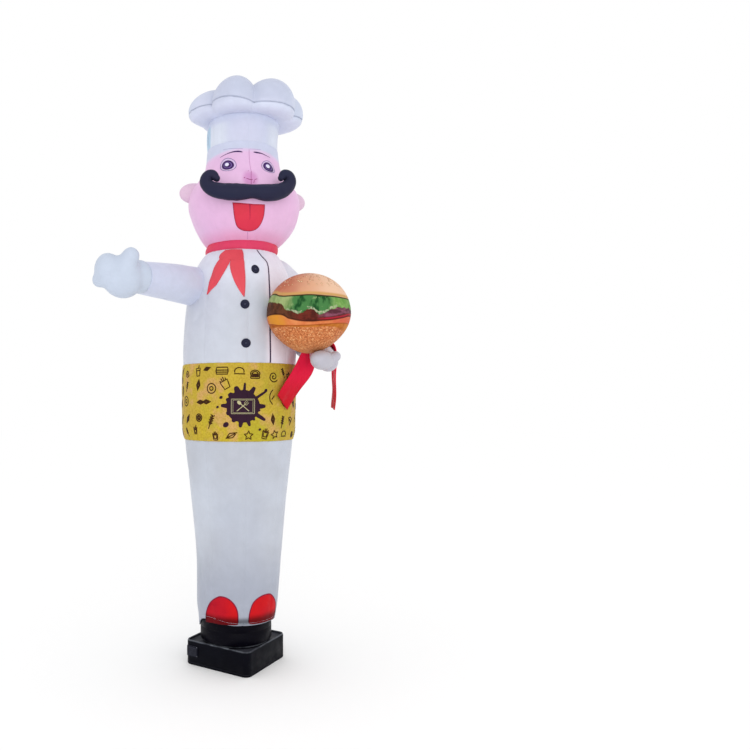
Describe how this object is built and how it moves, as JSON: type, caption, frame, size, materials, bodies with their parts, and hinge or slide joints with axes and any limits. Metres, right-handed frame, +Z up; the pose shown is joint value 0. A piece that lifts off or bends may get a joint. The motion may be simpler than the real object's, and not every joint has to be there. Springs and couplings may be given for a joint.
{
  "type": "inflatable air dancer with blower base",
  "caption": "Tall air-filled cloth chef standing on a square blower base, one arm stretched out, the other bent to hold a ball-shaped bun with filling, a napkin over its forearm.",
  "frame": {"origin": "centre of the blower base's bottom face", "axes": "+Z up, -Y the way the figure faces, +X the side of the arm that holds the burger"},
  "size_m": [1.3802, 0.9795, 3.355],
  "materials": {
    "white_cloth": "thin woven nylon, slightly glossy",
    "pink_cloth": "thin woven nylon, slightly glossy",
    "red_cloth": "thin woven nylon, slightly glossy",
    "navy_cloth": "thin woven nylon, dull",
    "yellow_cloth": "thin woven nylon with a printed pattern",
    "burger_cloth": "thin woven nylon, printed all over",
    "black_plastic": "moulded, satin"
  },
  "bodies": {
    "root": {"blower_base": "black_plastic", "outlet_collar": "black_plastic", "vent_panel": "black_plastic", "leg_tube": "white_cloth", "apron_band": "yellow_cloth", "jacket": "white_cloth", "neck_band": "red_cloth", "scarf_knot": "red_cloth", "scarf_tail_left": "red_cloth", "scarf_tail_right": "red_cloth", "button_1": "navy_cloth", "button_2": "navy_cloth", "button_3": "navy_cloth", "head": "pink_cloth", "ear_left": "pink_cloth", "ear_right": "pink_cloth", "moustache": "navy_cloth", "hat_band": "white_cloth", "hat_side": "white_cloth", "hat_top": "white_cloth", "right_arm": "white_cloth", "right_hand": "white_cloth", "left_arm": "white_cloth", "left_hand": "white_cloth", "burger": "burger_cloth", "napkin": "red_cloth"}
  },
  "joints": []
}
